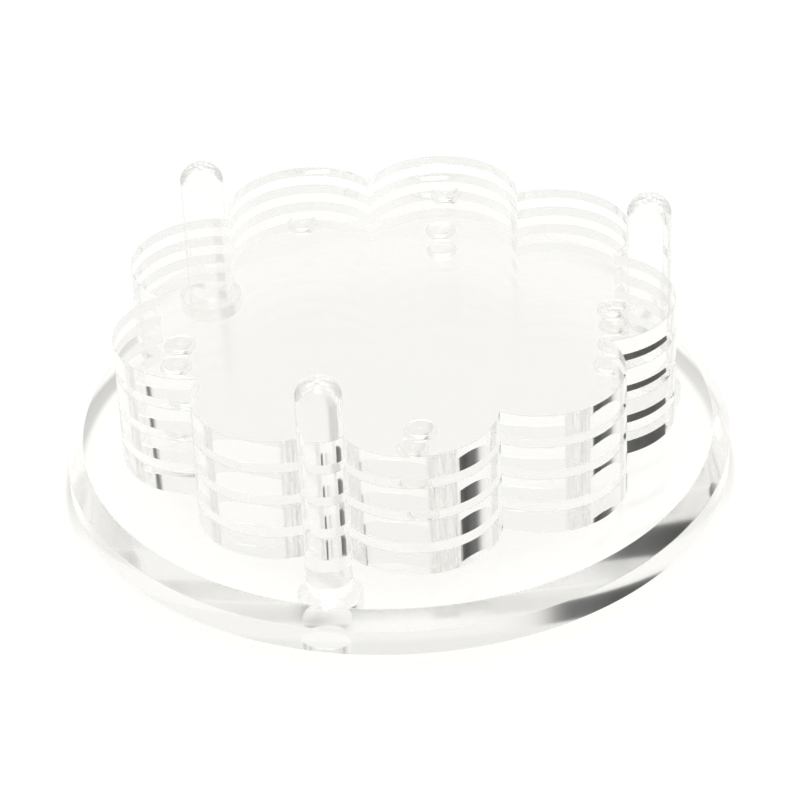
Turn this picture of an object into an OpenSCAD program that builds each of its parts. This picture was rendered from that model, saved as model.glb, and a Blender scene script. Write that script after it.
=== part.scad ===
// Four scalloped clear plates stacked on a round bevelled base.
// Three round-nosed posts stand in every third notch and keep the stack in line.
// Each plate lifts straight up along the posts. Soft bumpers stuck under each
// plate keep it clear of the one below.

/* [Base] */
// Diameter of the base disc
base_d = 120; // [116:1:140]
// Thickness of the base disc
base_t = 7.6; // [7:0.1:12]
// Width of the bevel around the base's top edge
bevel_w = 3; // [1:0.5:4]
// Height of the same bevel
bevel_h = 2.7; // [1:0.1:4]

/* [Plates] */
// Diameter over the tips of the lobes
plate_d = 100.6; // [98:0.2:102]
// Thickness of a plate
plate_t = 4.75; // [3:0.05:6]
// Radius of each lobe
lobe_r = 14.6; // [14:0.1:15]

/* [Posts] */
// Diameter of a post
post_d = 8; // [6:0.5:8]
// Distance of each post's axis from the centre
post_ring_r = 48.3; // [48.3:0.1:50]
// Height of the front post above the base
front_post_h = 40.4; // [34:0.1:60]
// Height of the right post above the base
right_post_h = 37.4; // [34:0.1:60]
// Height of the left post above the base
left_post_h = 35.4; // [34:0.1:60]
// Depth to which the posts are let into the base
socket_depth = 5; // [3:0.5:6]
// Gap all round a post in its socket, filled by the adhesive
glue_gap = 0.05; // [0.02:0.01:0.1]

/* [Bumpers under the plates] */
// Diameter of a bumper
bumper_d = 5.7; // [4:0.1:7]
// Height of a bumper
bumper_h = 1.8; // [1.5:0.1:3]
// Diameter of the flat that a bumper stands on
bumper_flat_d = 2.6; // [1:0.1:3]
// Distance of the bumpers from the plate's centre
bumper_ring_r = 39.1; // [37:0.1:42]
// How far a bumper may be off its place, stuck on by hand
bumper_scatter = 0.8; // [0:0.1:1]

/* [Feet] */
// Diameter of a foot
foot_d = 11.5; // [8:0.5:14]
// Height of a foot
foot_h = 3.4; // [2:0.1:5]
// Radius of the rounded edge that a foot stands on
foot_edge_r = 1.2; // [0.5:0.1:1.5]

/* [Hidden] */
$fn = 96;
LOBES = 9;
LOBE_STEP = 360 / LOBES;
// One lobe points straight back, so that a notch faces straight forward.
BACK_LOBE = 90;
lobe_ring_r = plate_d / 2 - lobe_r;

// Heights of the horizontal faces, from the floor up
z_base = foot_h;
z_base_top = z_base + base_t;
plate_pitch = plate_t + bumper_h;

// Directions of the three posts from the centre
FRONT = 270;
RIGHT = 30;
LEFT = 150;

// Every second lobe carries a bumper, starting at the back: four bumpers,
// with the ninth lobe left over.
BUMPER_STEP = 2 * LOBE_STEP;
// How far each plate has been turned before it was put on the stack,
// bottom plate first. Any whole number of lobes fits over the posts.
PLATE_TURNS = [0, 0, -BUMPER_STEP, 0];
SCATTER_SEED = 29162;

ACRYLIC = [0.90, 0.93, 0.94, 0.45];
SOFT_CLEAR = [0.88, 0.90, 0.86, 0.60];

// Height of the underside of plate i, where 0 is the lowest
function plate_z(i) = z_base_top + bumper_h + i * plate_pitch;

// Places its children at a direction and distance from the centre.
module at_polar(angle, radius, z = 0) {
    rotate([0, 0, angle]) translate([radius, 0, z]) children();
}

// Round disc with a bevelled top edge and a blind socket for each post.
module base_disc() {
    wall_h = base_t - bevel_h;
    color(ACRYLIC) difference() {
        translate([0, 0, z_base]) rotate_extrude($fn = 180) polygon([
            [0, 0],
            [base_d / 2, 0],
            [base_d / 2, wall_h],
            [base_d / 2 - bevel_w, base_t],
            [0, base_t]
        ]);
        for (angle = [FRONT, RIGHT, LEFT])
            at_polar(angle, post_ring_r, z_base_top - socket_depth)
                cylinder(r = post_d / 2 + glue_gap, h = socket_depth + 1);
    }
}

// Round rod with a hemispherical nose, standing on the floor of its socket.
module post(angle, height) {
    nose_r = post_d / 2;
    color(ACRYLIC) at_polar(angle, post_ring_r, z_base_top - socket_depth) {
        cylinder(r = nose_r, h = socket_depth + height - nose_r);
        translate([0, 0, socket_depth + height - nose_r]) sphere(r = nose_r);
    }
}

// Soft foot stuck under the base below a post, with a rounded lower edge.
module foot(angle) {
    color(SOFT_CLEAR) at_polar(angle, post_ring_r) rotate_extrude() {
        translate([0, foot_edge_r]) square([foot_d / 2, foot_h - foot_edge_r]);
        square([foot_d / 2 - foot_edge_r, foot_edge_r]);
        translate([foot_d / 2 - foot_edge_r, foot_edge_r]) intersection() {
            circle(r = foot_edge_r);
            translate([0, -foot_edge_r]) square(foot_edge_r);
        }
    }
}

// Scalloped plate: nine equal lobes around a round middle.
module plate(i) {
    color(ACRYLIC) translate([0, 0, plate_z(i)]) linear_extrude(plate_t) {
        circle(r = lobe_ring_r);
        for (k = [0 : LOBES - 1])
            at_polar(BACK_LOBE + k * LOBE_STEP, lobe_ring_r)
                rotate([0, 0, 180]) circle(r = lobe_r);
    }
}

// Low dome hanging under a plate, glued by its wide face, flat where it stands.
// The dome is the part of a ball that is as wide as the bumper at the top and
// as wide as the flat at the bottom.
module bumper_dome() {
    wide_r = bumper_d / 2;
    flat_r = bumper_flat_d / 2;
    rim_h = 0.5;
    dome_h = bumper_h - rim_h;
    // Height of the ball's centre above the flat
    centre_z = (dome_h * dome_h + wide_r * wide_r - flat_r * flat_r) / (2 * dome_h);
    ball_r = sqrt(centre_z * centre_z + flat_r * flat_r);
    rotate_extrude() {
        translate([0, dome_h]) square([wide_r, rim_h]);
        intersection() {
            square([wide_r, dome_h]);
            translate([0, centre_z]) circle(r = ball_r);
        }
    }
}

// Bumper k under plate i, counted clockwise from the back of the plate.
module bumper(i, k) {
    angle = BACK_LOBE + PLATE_TURNS[i] - k * BUMPER_STEP;
    off = rands(-bumper_scatter, bumper_scatter, 2, SCATTER_SEED + 4 * i + k);
    color(SOFT_CLEAR) at_polar(angle, bumper_ring_r, plate_z(i) - bumper_h)
        translate([off[0], off[1], 0]) bumper_dome();
}

base_disc();
post(FRONT, front_post_h);  // post_front
post(RIGHT, right_post_h);  // post_right
post(LEFT, left_post_h);  // post_left
foot(FRONT);  // foot_front
foot(RIGHT);  // foot_right
foot(LEFT);  // foot_left
for (i = [0 : 3]) {
    name = str("plate_", i + 1);
    plate(i);
    for (k = [0 : 3]) {
        bumper_name = str(name, "_bumper_", chr(97 + k));
        bumper(i, k);
    }
}
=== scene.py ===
# Looks of the clear scalloped plate stack: every piece rebuilt with polished,
# slightly eased edges, and clear acrylic and soft-bumper materials.
import math

import bmesh
import bpy
from mathutils import Matrix, Vector


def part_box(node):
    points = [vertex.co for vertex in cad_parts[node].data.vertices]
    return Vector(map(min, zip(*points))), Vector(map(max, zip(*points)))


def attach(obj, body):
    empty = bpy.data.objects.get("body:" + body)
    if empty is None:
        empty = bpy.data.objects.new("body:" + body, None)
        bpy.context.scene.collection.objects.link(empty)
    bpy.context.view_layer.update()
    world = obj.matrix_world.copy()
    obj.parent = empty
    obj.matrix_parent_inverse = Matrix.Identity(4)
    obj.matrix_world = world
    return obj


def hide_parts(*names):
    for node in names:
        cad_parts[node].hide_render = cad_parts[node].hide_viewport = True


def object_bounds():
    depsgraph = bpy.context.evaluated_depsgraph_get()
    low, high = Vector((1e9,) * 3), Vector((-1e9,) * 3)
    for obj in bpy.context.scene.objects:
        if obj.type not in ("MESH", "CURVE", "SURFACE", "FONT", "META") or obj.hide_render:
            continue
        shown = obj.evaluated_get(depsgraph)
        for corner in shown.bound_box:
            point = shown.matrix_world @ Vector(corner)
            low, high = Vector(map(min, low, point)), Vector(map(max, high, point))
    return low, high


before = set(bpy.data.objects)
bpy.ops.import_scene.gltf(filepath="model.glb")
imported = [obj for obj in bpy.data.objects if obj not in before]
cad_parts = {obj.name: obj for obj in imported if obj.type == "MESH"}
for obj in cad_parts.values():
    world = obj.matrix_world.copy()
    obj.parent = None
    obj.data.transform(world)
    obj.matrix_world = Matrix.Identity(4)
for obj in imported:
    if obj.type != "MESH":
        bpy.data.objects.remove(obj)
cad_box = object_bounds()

MM = 0.001
LOBES = 9
LOBE_STEP = 2 * math.pi / LOBES
BACK = math.pi / 2

# Sizes that a bounding box can't tell, in metres
LOBE_R = 14.6 * MM
BEVEL_W = 3.0 * MM
BEVEL_H = 2.7 * MM
SOCKET_DEPTH = 5.0 * MM
GLUE_GAP = 0.05 * MM
BUMPER_RIM = 0.5 * MM
BUMPER_FLAT_R = 1.3 * MM

# How much thinner than nominal each plate's sheet came out, bottom plate first
SHEET_SHORT = (0.2 * MM, 0.0, 0.0, 0.1 * MM)

# Eased edges and the hair-thin gaps where two clear pieces meet
PLATE_EDGE = 0.05 * MM
BASE_EDGE = 0.2 * MM
POST_EDGE = 0.2 * MM
FOOT_EDGE = 1.2 * MM
SOFT_EDGE = 0.15 * MM
AIR_FILM = 0.012 * MM

RIM_SEGMENTS = 384
POST_SEGMENTS = 256
BUMPER_SEGMENTS = 64
ARC_SEGMENTS = 56
FILLET_STEPS = 5
NOSE_STEPS = 72
DOME_STEPS = 14

# Clear materials: tint and index of the acrylic, what its depth dims, how a
# polarising filter cuts its glare, and its polish, smoothest and dullest
TINT = (0.994, 0.994, 0.993)
ACRYLIC_IOR = 1.49
DEPTH_COLOUR = (0.5, 0.5, 0.46, 1.0)
FILTERED_GLARE = 0.4
SHEET_POLISH = (0.0, 0.012)
ROD_POLISH = (0.04, 0.1)
# The noise's range that the polish spans
POLISH_NOISE = (0.35, 0.75)
# Turned bevel and rim: every face tilted more than this is that much duller
TURNED_BELOW = 0.95
TURNED_ROUGH = 0.07
# Cut walls: every face steeper than this carries fine upright lines
WALL_BELOW = 0.3
LINE_STRETCH = (1.0, 1.0, 0.02)
LINE_SCALE = 2000.0
LINE_HEIGHT = 0.00002
LINE_STRENGTH = 0.25
# Bumpers and feet
SOFT_TINT = (0.95, 0.95, 0.94)
SOFT_IOR = 1.46
SOFT_POLISH = (0.0, 0.04)

# Light table: half its width, its gap under the feet and its diffuse colour
FLOOR_SIZE = 3.0
FLOOR_GAP = 0.05 * MM
FLOOR_COLOUR = (0.08, 0.08, 0.0795, 1.0)
FLOOR_ROUGH = 0.9
FLOOR_GLOW = 0.94
# Light that the base's bevel gathers inside the rim, by distance from the middle
GATHERED_GLOW = 0.045
GATHERED_RING = [(0.036, 0.0), (0.046, 1.0), (0.055, 1.0), (0.0575, 0.0)]
# Contact shadow under the rim, by distance from the middle, and by how far to
# the side and towards the far side
SHADOW_DEPTH = 0.42
SHADOW_RING = [(0.0572, 0.0), (0.0582, 0.8), (0.0603, 1.0), (0.0613, 0.0)]
SHADOW_SIDES = [
    ((0.964, 0.266, 0.0),
     [(-0.060, 1.0), (-0.052, 1.0), (-0.040, 0.0), (0.040, 0.0), (0.052, 0.7), (0.060, 0.7)]),
    ((-0.266, 0.964, 0.0),
     [(-0.020, 0.0), (0.010, 1.0)])]

# The slightly warm white of the light table and of the tent of light round it
TENT_TINT = (1.0, 0.992, 0.965)
# Brightness of the ring of light round the piece, by compass angle in degrees:
# the dip is a dark card
LIGHT_RING = [
    (-180, 0.98), (118, 0.98), (123, 0.86), (125, 0.6), (127, 0.25), (129, 0.13), (133, 0.10),
    (138, 0.03), (148, 0.02), (150, 0.5), (152, 0.95), (160, 0.98), (180, 0.98)]
# How much of that ring shows, by height above the floor in degrees
RING_HEIGHT = [(0, 0.0), (14, 0.0), (20, 1.0), (52, 1.0), (62, 0.0), (90, 0.0)]
# Brightness of the tent behind the ring, by height
TENT_HEIGHT = [(0, 0.85), (12, 0.9), (20, 0.98), (60, 0.98), (72, 0.55), (90, 0.5)]
# Round lamp high over the near side: direction, and the cosines of the angles
# from it at which its light ends and is full
LAMP_DIRECTION = (0.082, -0.298, 0.951)
LAMP_EDGE = 0.92
LAMP_FULL = 0.99
LAMP_STRENGTH = 7.0

# Camera: direction in degrees, distance and target in metres, lens in mm
VIEW_AZIMUTH = 15.4
VIEW_ELEVATION = 33.79
VIEW_ROLL = -2.73
VIEW_DISTANCE = 0.6816
VIEW_TARGET = (-0.00416, 0.01751, 0.003)
VIEW_LENS = 164.6
VIEW_SENSOR = 36.0
VIEW_CLIP = (0.01, 20.0)

# Bounces that light needs to find its way out of the stacked clear pieces
CLEAR_BOUNCES = 256
GLOSS_BOUNCES = 128
SEE_THROUGH_BOUNCES = 16


# ---------------------------------------------------------------- mesh making

class Shell:
    """Vertices, faces and one normal for every corner of every face."""

    def __init__(self):
        self.verts = []
        self.faces = []
        self.corner_normals = []

    def add_verts(self, points):
        start = len(self.verts)
        self.verts.extend(Vector(p) for p in points)
        return list(range(start, len(self.verts)))

    def add_face(self, corners, normals):
        self.faces.append(corners)
        self.corner_normals.append(normals)

    def add_flat(self, corners, normal):
        self.add_face(corners, [normal] * len(corners))

    def to_object(self, name, material, body, node):
        mesh = bpy.data.meshes.new(name)
        mesh.from_pydata([tuple(v) for v in self.verts], [], self.faces)
        mesh.polygons.foreach_set("use_smooth", [True] * len(mesh.polygons))
        mesh.materials.append(material)
        flat = [tuple(n) for face in self.corner_normals for n in face]
        mesh.normals_split_custom_set(flat)
        mesh.update()
        piece = bpy.data.objects.new(name, mesh)
        bpy.context.scene.collection.objects.link(piece)
        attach(piece, body)
        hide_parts(node)
        return piece


def rounded_profile(corners):
    """Turns (radius, height, fillet) corners into points with outward normals.

    The corners run from the axis at the bottom, round the outside, to the axis
    at the top. A corner with no fillet is left as it is, on a flat end.
    """
    points = []
    for i, (r, z, fillet) in enumerate(corners):
        here = Vector((r, z))
        if i == 0 or i == len(corners) - 1:
            points.append((here, Vector((0.0, -1.0 if i == 0 else 1.0))))
            continue
        before = (here - Vector(corners[i - 1][:2])).normalized()
        after = (Vector(corners[i + 1][:2]) - here).normalized()
        normal_in = Vector((before.y, -before.x))
        normal_out = Vector((after.y, -after.x))
        turn = math.acos(max(-1.0, min(1.0, before.dot(after))))
        cut = fillet * math.tan(turn / 2)
        centre = here - before * cut - normal_in * fillet
        start = math.atan2(normal_in.y, normal_in.x)
        for step in range(FILLET_STEPS + 1):
            angle = start + turn * step / FILLET_STEPS
            normal = Vector((math.cos(angle), math.sin(angle)))
            points.append((centre + normal * fillet, normal))
        assert normal_out.dot(points[-1][1]) > 0.999, "corners must turn outwards"
    return points


def lathe(shell, profile, centre, segments, flip=False, open_top=False):
    """Spins a profile of (point, normal) pairs; returns the rings of vertices."""
    rings = []
    for point, _ in profile:
        if point.x < 1e-9:
            rings.append(shell.add_verts([(centre[0], centre[1], point.y)]))
            continue
        ring = []
        for s in range(segments):
            angle = 2 * math.pi * s / segments
            ring.append((centre[0] + point.x * math.cos(angle),
                         centre[1] + point.x * math.sin(angle), point.y))
        rings.append(shell.add_verts(ring))

    def spun(normal, s):
        angle = 2 * math.pi * s / segments
        sign = -1.0 if flip else 1.0
        return Vector((normal.x * math.cos(angle), normal.x * math.sin(angle), normal.y)) * sign

    for (lower, (_, n_low)), (upper, (_, n_up)) in zip(
            zip(rings, profile), zip(rings[1:], profile[1:])):
        for s in range(segments):
            t = (s + 1) % segments
            if len(lower) == 1:
                corners = [lower[0], upper[t], upper[s]]
                normals = [spun(n_low, s), spun(n_up, s + 1), spun(n_up, s)]
            elif len(upper) == 1:
                if open_top:
                    continue
                corners = [lower[s], lower[t], upper[0]]
                normals = [spun(n_low, s), spun(n_low, s + 1), spun(n_up, s)]
            else:
                corners = [lower[s], lower[t], upper[t], upper[s]]
                normals = [spun(n_low, s), spun(n_low, s + 1), spun(n_up, s + 1), spun(n_up, s)]
            if flip:
                corners.reverse()
                normals.reverse()
            shell.add_face(corners, normals)
    return rings


def node_cylinder(node):
    """Centre, radius, bottom and top of an upright round node."""
    low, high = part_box(node)
    centre = (low + high) / 2
    return (centre.x, centre.y), (high.x - low.x) / 2, low.z, high.z


# ---------------------------------------------------------------- materials

def add_node(tree, kind, **inputs):
    node = tree.nodes.new(kind)
    for name, value in inputs.items():
        node.inputs[name.replace("_", " ")].default_value = value
    return node


def map_range(tree, span, result=(0.0, 1.0)):
    """Maps one span of values onto another, and holds them inside it."""
    node = tree.nodes.new("ShaderNodeMapRange")
    node.inputs["From Min"].default_value, node.inputs["From Max"].default_value = span
    node.inputs["To Min"].default_value, node.inputs["To Max"].default_value = result
    return node


def math_node(tree, operation, first, second=None, third=None):
    """Math node; each input is a socket to link or a number to set."""
    node = tree.nodes.new("ShaderNodeMath")
    node.operation = operation
    for place, value in enumerate((first, second, third)):
        if isinstance(value, bpy.types.NodeSocket):
            tree.links.new(value, node.inputs[place])
        elif value is not None:
            node.inputs[place].default_value = value
    return node.outputs["Value"]


def steeper_than(tree, level):
    """1 on every face whose normal's upright share is less than level, else 0."""
    geometry = tree.nodes.new("ShaderNodeNewGeometry")
    axes = tree.nodes.new("ShaderNodeSeparateXYZ")
    tree.links.new(geometry.outputs["Normal"], axes.inputs["Vector"])
    upright = math_node(tree, "ABSOLUTE", axes.outputs["Z"])
    return math_node(tree, "LESS_THAN", upright, level)


def clear_material(name, tint, ior, polish_range, polish_scale, glare=1.0, depth_loss=0.0):
    """Clear solid whose polish varies softly from place to place.

    glare scales its reflections, as a polarising filter on the lens does.
    depth_loss is how strongly a long way through the solid dims the light.
    """
    material = bpy.data.materials.new(name)
    material.use_nodes = True
    tree = material.node_tree
    shader = tree.nodes["Principled BSDF"]
    shader.inputs["Base Color"].default_value = (*tint, 1.0)
    shader.inputs["Transmission Weight"].default_value = 1.0
    shader.inputs["IOR"].default_value = ior
    shader.inputs["Specular Tint"].default_value = (glare, glare, glare, 1.0)
    coords = tree.nodes.new("ShaderNodeTexCoord")
    polish = add_node(tree, "ShaderNodeTexNoise", Scale=polish_scale, Detail=4.0)
    tree.links.new(coords.outputs["Object"], polish.inputs["Vector"])
    rough = map_range(tree, POLISH_NOISE, polish_range)
    tree.links.new(polish.outputs["Fac"], rough.inputs["Value"])
    tree.links.new(rough.outputs["Result"], shader.inputs["Roughness"])
    if depth_loss:
        dimming = tree.nodes.new("ShaderNodeVolumeAbsorption")
        dimming.inputs["Color"].default_value = DEPTH_COLOUR
        dimming.inputs["Density"].default_value = depth_loss
        tree.links.new(dimming.outputs["Volume"], tree.nodes["Material Output"].inputs["Volume"])
    return material, tree, shader, coords


def cut_edge_bump(tree, shader, coords):
    """Fine upright lines on the cut walls, none on the flat faces."""
    flatten = tree.nodes.new("ShaderNodeVectorMath")
    flatten.operation = "MULTIPLY"
    flatten.inputs[1].default_value = LINE_STRETCH
    tree.links.new(coords.outputs["Object"], flatten.inputs[0])
    lines = add_node(tree, "ShaderNodeTexNoise", Scale=LINE_SCALE, Detail=3.0, Roughness=0.6)
    tree.links.new(flatten.outputs["Vector"], lines.inputs["Vector"])
    height = math_node(tree, "MULTIPLY", lines.outputs["Fac"], steeper_than(tree, WALL_BELOW))
    bump = add_node(tree, "ShaderNodeBump", Strength=LINE_STRENGTH, Distance=LINE_HEIGHT)
    tree.links.new(height, bump.inputs["Height"])
    tree.links.new(bump.outputs["Normal"], shader.inputs["Normal"])


def worked_faces(tree, shader):
    """Leaves every face that isn't level a little duller, as turned faces are."""
    polish = shader.inputs["Roughness"].links[0].from_socket
    rough = math_node(
        tree, "MULTIPLY_ADD", steeper_than(tree, TURNED_BELOW), TURNED_ROUGH, polish)
    tree.links.new(rough, shader.inputs["Roughness"])


base_acrylic, base_tree, base_shader, _ = clear_material(
    "bevelled_acrylic", TINT, ACRYLIC_IOR, SHEET_POLISH, 45.0,
    glare=FILTERED_GLARE, depth_loss=0.85)
worked_faces(base_tree, base_shader)
rod_acrylic, _, _, _ = clear_material(
    "acrylic_rod", TINT, ACRYLIC_IOR, ROD_POLISH, 60.0, depth_loss=0.8)
cut_acrylic, cut_tree, cut_shader, cut_coords = clear_material(
    "laser_cut_acrylic", TINT, ACRYLIC_IOR, SHEET_POLISH, 45.0,
    glare=FILTERED_GLARE, depth_loss=1.5)
cut_edge_bump(cut_tree, cut_shader, cut_coords)
soft_clear, _, _, _ = clear_material(
    "soft_clear_bumper", SOFT_TINT, SOFT_IOR, SOFT_POLISH, 400.0)


# ---------------------------------------------------------------- pieces

def make_base():
    """Bevelled disc with a blind socket for each post."""
    centre, radius, bottom, top = node_cylinder("base_disc")
    shell = Shell()
    profile = rounded_profile([
        (0.0, bottom, 0.0),
        (radius, bottom, BASE_EDGE),
        (radius, top - BEVEL_H, BASE_EDGE),
        (radius - BEVEL_W, top, BASE_EDGE),
        (0.0, top, 0.0)])
    rings = lathe(shell, profile, centre, RIM_SEGMENTS, open_top=True)
    rim = rings[-2]
    loops = [rim]
    for post in ("post_front", "post_right", "post_left"):
        axis, post_r, floor_z, _ = node_cylinder(post)
        wall_r = post_r + GLUE_GAP
        floor_z -= AIR_FILM
        mouth = []
        foot = []
        for s in range(POST_SEGMENTS):
            angle = 2 * math.pi * s / POST_SEGMENTS
            x = axis[0] + wall_r * math.cos(angle)
            y = axis[1] + wall_r * math.sin(angle)
            mouth.append((x, y, top))
            foot.append((x, y, floor_z))
        mouth = shell.add_verts(mouth)
        foot = shell.add_verts(foot)
        for s in range(POST_SEGMENTS):
            t = (s + 1) % POST_SEGMENTS
            normals = []
            for k in (s, s + 1):
                angle = 2 * math.pi * k / POST_SEGMENTS
                normals.append(Vector((-math.cos(angle), -math.sin(angle), 0.0)))
            shell.add_face([foot[t], foot[s], mouth[s], mouth[t]],
                           [normals[1], normals[0], normals[0], normals[1]])
        shell.add_flat(list(foot), Vector((0.0, 0.0, 1.0)))
        loops.append(mouth)
    fill_between(shell, loops)
    return shell.to_object("base_disc_clear", base_acrylic, "base", "base_disc")


def fill_between(shell, loops):
    """Fills the flat, upward face inside the first loop and outside the rest."""
    work = bmesh.new()
    at = {}
    for loop in loops:
        for i in loop:
            at[i] = work.verts.new(shell.verts[i])
    back = {v: i for i, v in at.items()}
    edges = []
    for loop in loops:
        for a, b in zip(loop, loop[1:] + loop[:1]):
            edges.append(work.edges.new((at[a], at[b])))
    filled = bmesh.ops.triangle_fill(work, edges=edges, use_beauty=True)
    up = Vector((0.0, 0.0, 1.0))
    for face in (g for g in filled["geom"] if isinstance(g, bmesh.types.BMFace)):
        corners = [back[v] for v in face.verts]
        face.normal_update()
        if face.normal.z < 0:
            corners.reverse()
        shell.add_flat(corners, up)
    work.free()


def make_post(node):
    """Rod with a hemispherical nose and an eased lower end."""
    centre, radius, bottom, top = node_cylinder(node)
    profile = rounded_profile([
        (0.0, bottom, 0.0),
        (radius, bottom, POST_EDGE),
        (radius, top, 0.0)])[:-1]
    for step in range(NOSE_STEPS + 1):
        angle = math.pi / 2 * step / NOSE_STEPS
        normal = Vector((math.cos(angle), math.sin(angle)))
        if step == NOSE_STEPS:
            normal = Vector((0.0, 1.0))
        profile.append((Vector((0.0, top - radius)) + normal * radius, normal))
    shell = Shell()
    lathe(shell, profile, centre, POST_SEGMENTS)
    return shell.to_object(node + "_rod", rod_acrylic, "base", node)


def make_foot(node):
    """Soft foot with a rounded lower edge, held under the base by a thin glue line."""
    centre, radius, bottom, top = node_cylinder(node)
    profile = rounded_profile([
        (0.0, bottom, 0.0),
        (radius, bottom, FOOT_EDGE),
        (radius, top - AIR_FILM, SOFT_EDGE),
        (0.0, top - AIR_FILM, 0.0)])
    shell = Shell()
    lathe(shell, profile, centre, BUMPER_SEGMENTS)
    return shell.to_object(node + "_pad", soft_clear, "base", node)


def make_bumper(node, body):
    """Low dome, wide face up against its plate, flat where it stands."""
    centre, radius, bottom, top = node_cylinder(node)
    bottom += AIR_FILM
    top -= AIR_FILM
    dome_h = top - bottom - BUMPER_RIM
    ball_z = (dome_h ** 2 + radius ** 2 - BUMPER_FLAT_R ** 2) / (2 * dome_h)
    ball_r = math.hypot(ball_z, BUMPER_FLAT_R)
    start = math.atan2(-ball_z, BUMPER_FLAT_R)
    end = math.atan2(dome_h - ball_z, radius)
    profile = [(Vector((0.0, bottom)), Vector((0.0, -1.0)))]
    for step in range(DOME_STEPS + 1):
        angle = start + (end - start) * step / DOME_STEPS
        normal = Vector((math.cos(angle), math.sin(angle)))
        profile.append((Vector((0.0, bottom + ball_z)) + normal * ball_r, normal))
    profile.extend(rounded_profile([
        (radius, bottom + dome_h, 0.0),
        (radius, top, SOFT_EDGE),
        (0.0, top, 0.0)])[1:])
    shell = Shell()
    lathe(shell, profile, centre, BUMPER_SEGMENTS)
    return shell.to_object(node + "_dome", soft_clear, body, node)


def outline_ring(ring_r, lobe_r, z):
    """Points round nine lobes, and the direction that each lobe's wall faces there."""
    half = LOBE_STEP / 2
    reach = math.sqrt(lobe_r ** 2 - (ring_r * math.sin(half)) ** 2)
    cusp = Vector((math.cos(half), math.sin(half))) * (ring_r * math.cos(half) + reach)
    spread = math.atan2(cusp.y, cusp.x - ring_r)
    points = []
    normals = []
    for k in range(LOBES):
        axis = BACK + k * LOBE_STEP
        for s in range(ARC_SEGMENTS + 1):
            angle = axis + spread * (2 * s / ARC_SEGMENTS - 1)
            normals.append(Vector((math.cos(angle), math.sin(angle), 0.0)))
            if s < ARC_SEGMENTS:
                points.append((ring_r * math.cos(axis) + lobe_r * math.cos(angle),
                               ring_r * math.sin(axis) + lobe_r * math.sin(angle), z))
    return points, normals


def make_plate(node, body, short):
    """Scalloped plate with walls straight down and eased edges."""
    low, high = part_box(node)
    high.z -= short
    ring_r = high.y - LOBE_R
    levels = []
    for step in range(FILLET_STEPS + 1):
        tilt = math.pi / 2 * step / FILLET_STEPS
        inset = PLATE_EDGE * (1 - math.sin(tilt))
        lift = PLATE_EDGE * (1 - math.cos(tilt))
        levels.append((inset, low.z + lift, -math.cos(tilt)))
    for inset, z, n_z in levels[::-1]:
        levels.append((inset, high.z - (z - low.z), -n_z))
    shell = Shell()
    rings = []
    facing = []
    for inset, z, n_z in levels:
        points, normals = outline_ring(ring_r, LOBE_R - inset, z)
        rings.append(shell.add_verts(points))
        flat = math.sqrt(max(0.0, 1 - n_z ** 2))
        facing.append([Vector((n.x * flat, n.y * flat, n_z)) for n in normals])
    count = LOBES * ARC_SEGMENTS
    for lower, upper, n_low, n_up in zip(rings, rings[1:], facing, facing[1:]):
        for k in range(LOBES):
            for s in range(ARC_SEGMENTS):
                i = k * ARC_SEGMENTS + s
                j = (i + 1) % count
                c = k * (ARC_SEGMENTS + 1) + s
                shell.add_face([lower[i], lower[j], upper[j], upper[i]],
                               [n_low[c], n_low[c + 1], n_up[c + 1], n_up[c]])
    shell.add_flat(list(reversed(rings[0])), Vector((0.0, 0.0, -1.0)))
    shell.add_flat(list(rings[-1]), Vector((0.0, 0.0, 1.0)))
    return shell.to_object(node + "_clear", cut_acrylic, body, node)


make_base()
for side in ("front", "right", "left"):
    make_post("post_" + side)
    make_foot("foot_" + side)
for number in range(1, 5):
    plate_name = "plate_%d" % number
    plate_body = plate_name + "_body"
    make_plate(plate_name, plate_body, SHEET_SHORT[number - 1])
    for letter in "abcd":
        make_bumper("%s_bumper_%s" % (plate_name, letter), plate_body)


# ---------------------------------------------------------------- stage

def grey_band(tree, value, stops, tint=(1.0, 1.0, 1.0)):
    """Colour ramp over a value that follows (place, brightness) stops, times a tint."""
    low, high = stops[0][0], stops[-1][0]
    spread = map_range(tree, (low, high))
    tree.links.new(value, spread.inputs["Value"])
    ramp = tree.nodes.new("ShaderNodeValToRGB")
    points = ramp.color_ramp.elements
    points[0].position = 0.0
    points[1].position = 1.0
    points[0].color = [stops[0][1] * t for t in tint] + [1.0]
    points[1].color = [stops[-1][1] * t for t in tint] + [1.0]
    for place, brightness in stops[1:-1]:
        point = points.new((place - low) / (high - low))
        point.color = [brightness * t for t in tint] + [1.0]
    tree.links.new(spread.outputs["Result"], ramp.inputs["Fac"])
    return ramp.outputs["Color"]


def dot_with(tree, vector, direction):
    """How far a vector reaches in a fixed direction."""
    node = tree.nodes.new("ShaderNodeVectorMath")
    node.operation = "DOT_PRODUCT"
    node.inputs[1].default_value = direction
    tree.links.new(vector, node.inputs[0])
    return node.outputs["Value"]


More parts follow.
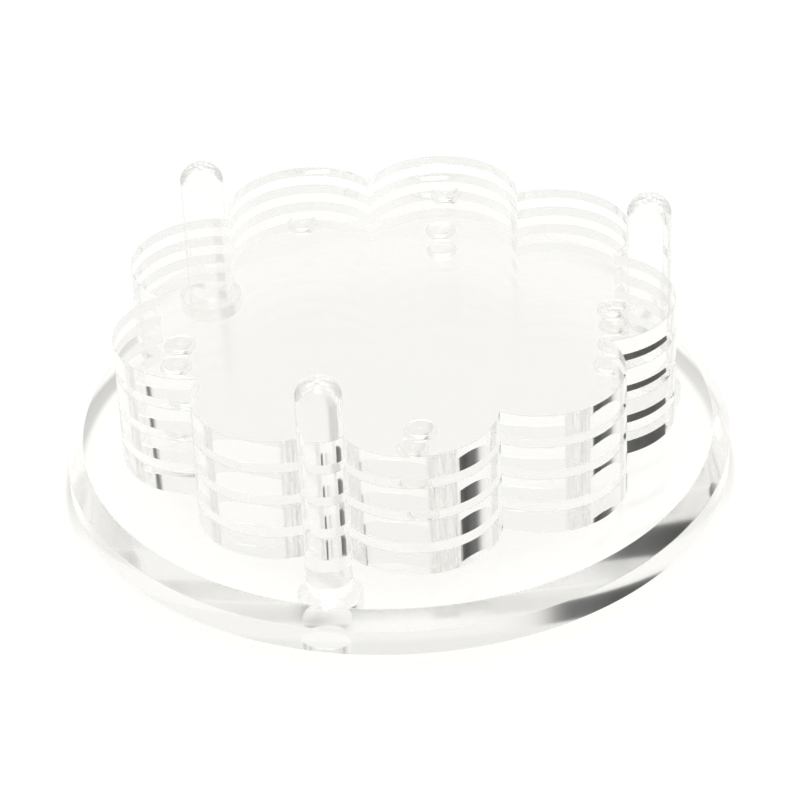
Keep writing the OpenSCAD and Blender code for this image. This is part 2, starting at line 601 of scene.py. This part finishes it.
def make_floor():
    """Pale light table, lit from within, with a contact shadow under the base's rim."""
    mesh = bpy.data.meshes.new("floor")
    z = cad_box[0][2] - FLOOR_GAP
    mesh.from_pydata([(-FLOOR_SIZE, -FLOOR_SIZE, z), (FLOOR_SIZE, -FLOOR_SIZE, z),
                      (FLOOR_SIZE, FLOOR_SIZE, z), (-FLOOR_SIZE, FLOOR_SIZE, z)],
                     [], [(0, 1, 2, 3)])
    floor = bpy.data.objects.new("floor", mesh)
    bpy.context.scene.collection.objects.link(floor)
    material = bpy.data.materials.new("pale_floor")
    material.use_nodes = True
    tree = material.node_tree
    shader = tree.nodes["Principled BSDF"]
    shader.inputs["Base Color"].default_value = FLOOR_COLOUR
    shader.inputs["Roughness"].default_value = FLOOR_ROUGH
    shader.inputs["Emission Color"].default_value = (*TENT_TINT, 1.0)
    coords = tree.nodes.new("ShaderNodeTexCoord")
    radius = tree.nodes.new("ShaderNodeVectorMath")
    radius.operation = "LENGTH"
    tree.links.new(coords.outputs["Object"], radius.inputs[0])
    shadow = grey_band(tree, radius.outputs["Value"], SHADOW_RING)
    for direction, stops in SHADOW_SIDES:
        along = dot_with(tree, coords.outputs["Object"], direction)
        shadow = math_node(tree, "MULTIPLY", shadow, grey_band(tree, along, stops))
    shaded = math_node(tree, "MULTIPLY_ADD", shadow, -SHADOW_DEPTH, FLOOR_GLOW)
    gathered = grey_band(tree, radius.outputs["Value"], GATHERED_RING)
    glow = math_node(tree, "MULTIPLY_ADD", gathered, GATHERED_GLOW, shaded)
    tree.links.new(glow, shader.inputs["Emission Strength"])
    mesh.materials.append(material)


def make_world():
    """White tent of light with one dark card in it, a darker crown and a lamp."""
    world = bpy.data.worlds.new("studio")
    bpy.context.scene.world = world
    world.use_nodes = True
    tree = world.node_tree
    background = tree.nodes["Background"]
    coords = tree.nodes.new("ShaderNodeTexCoord")
    axes = tree.nodes.new("ShaderNodeSeparateXYZ")
    tree.links.new(coords.outputs["Generated"], axes.inputs["Vector"])
    compass = math_node(
        tree, "DEGREES", math_node(tree, "ARCTAN2", axes.outputs["Y"], axes.outputs["X"]))
    height = math_node(tree, "DEGREES", math_node(tree, "ARCSINE", axes.outputs["Z"]))
    mix = tree.nodes.new("ShaderNodeMix")
    mix.data_type = "RGBA"
    factor, tent, ring = mix.inputs["Factor"], mix.inputs[6], mix.inputs[7]
    tree.links.new(grey_band(tree, height, RING_HEIGHT), factor)
    tree.links.new(grey_band(tree, height, TENT_HEIGHT, TENT_TINT), tent)
    tree.links.new(grey_band(tree, compass, LIGHT_RING, TENT_TINT), ring)
    tree.links.new(mix.outputs[2], background.inputs["Color"])
    lamp = map_range(tree, (LAMP_EDGE, LAMP_FULL), (1.0, LAMP_STRENGTH))
    towards = dot_with(tree, coords.outputs["Generated"], LAMP_DIRECTION)
    tree.links.new(towards, lamp.inputs["Value"])
    tree.links.new(lamp.outputs["Result"], background.inputs["Strength"])


def make_camera():
    """Three-quarter view from above, a little to the right of the front post."""
    azimuth = math.radians(VIEW_AZIMUTH)
    elevation = math.radians(VIEW_ELEVATION)
    roll = math.radians(VIEW_ROLL)
    right = Vector((math.cos(azimuth), math.sin(azimuth), 0.0))
    away = Vector((-math.sin(azimuth), math.cos(azimuth), 0.0))
    back = -away * math.cos(elevation) + Vector((0.0, 0.0, math.sin(elevation)))
    up = away * math.sin(elevation) + Vector((0.0, 0.0, math.cos(elevation)))
    image_right = right * math.cos(roll) + up * math.sin(roll)
    image_up = up * math.cos(roll) - right * math.sin(roll)
    data = bpy.data.cameras.new("camera")
    data.sensor_width = VIEW_SENSOR
    data.lens = VIEW_LENS
    data.clip_start, data.clip_end = VIEW_CLIP
    camera = bpy.data.objects.new("camera", data)
    bpy.context.scene.collection.objects.link(camera)
    turn = Matrix((image_right, image_up, back)).transposed().to_4x4()
    place = Vector(VIEW_TARGET) + back * VIEW_DISTANCE
    camera.matrix_world = Matrix.Translation(place) @ turn
    bpy.context.scene.camera = camera


make_floor()
make_world()
make_camera()
scene = bpy.context.scene
scene.view_settings.view_transform = "Standard"
scene.cycles.max_bounces = CLEAR_BOUNCES
scene.cycles.transmission_bounces = CLEAR_BOUNCES
scene.cycles.glossy_bounces = GLOSS_BOUNCES
scene.cycles.transparent_max_bounces = SEE_THROUGH_BOUNCES
